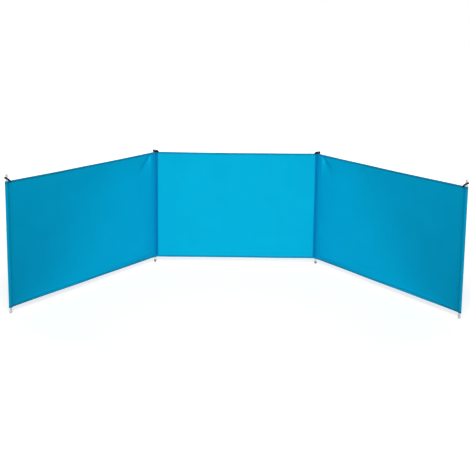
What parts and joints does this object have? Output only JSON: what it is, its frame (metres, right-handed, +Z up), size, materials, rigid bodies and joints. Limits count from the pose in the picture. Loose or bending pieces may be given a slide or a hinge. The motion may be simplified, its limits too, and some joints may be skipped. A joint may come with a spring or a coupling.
{
  "type": "beach windbreak",
  "caption": "Folding cloth windbreak for a beach: bays of plain cloth on slim poles in sewn sleeves, with outer bays that turn about the corner poles.",
  "frame": {"origin": "middle of the underside of the left corner pole's foot, at ground level", "axes": "+X along the middle bay from the left corner pole to the right one, -Y towards the side that the wings are turned to, +Z up along the poles"},
  "size_m": [3.5028, 1.1604, 1.101],
  "materials": {
    "cloth": "plain woven polyester, cyan blue, light sheen",
    "hem": "the same cloth turned over and stitched, darker in its folds",
    "sleeve": "the same cloth, doubled round the pole",
    "pole": "pale coated steel tube",
    "cap": "pale moulded plug",
    "grey_foot": "grey moulded ferrule",
    "pale_foot": "pale moulded ferrule",
    "strap": "black elastic webbing"
  },
  "bodies": {
    "middle_bay": {"middle_cloth": "cloth", "middle_top_hem": "hem", "middle_bottom_hem": "hem", "left_corner_pole": "pole", "left_corner_cap": "cap", "left_corner_foot": "grey_foot", "left_corner_sleeve": "sleeve", "left_corner_strap": "strap", "right_corner_pole": "pole", "right_corner_cap": "cap", "right_corner_foot": "grey_foot", "right_corner_sleeve": "sleeve", "right_corner_strap": "strap"},
    "left_wing": {"left_cloth": "cloth", "left_top_hem": "hem", "left_bottom_hem": "hem", "left_end_pole": "pole", "left_end_cap": "cap", "left_end_foot": "pale_foot", "left_end_sleeve": "sleeve", "left_end_strap": "strap"},
    "right_wing": {"right_cloth": "cloth", "right_top_hem": "hem", "right_bottom_hem": "hem", "right_end_pole": "pole", "right_end_cap": "cap", "right_end_foot": "pale_foot", "right_end_sleeve": "sleeve", "right_end_strap": "strap"}
  },
  "joints": [
    {"name": "left_wing_turn", "type": "hinge", "parent": "middle_bay", "child": "left_wing", "pos_m": [0, 0, 0.5], "axis": [0, 0, 1], "range_deg": [-149, 51]},
    {"name": "right_wing_turn", "type": "hinge", "parent": "middle_bay", "child": "right_wing", "pos_m": [1.5, 0, 0.5], "axis": [0, 0, -1], "range_deg": [-149, 51]}
  ]
}
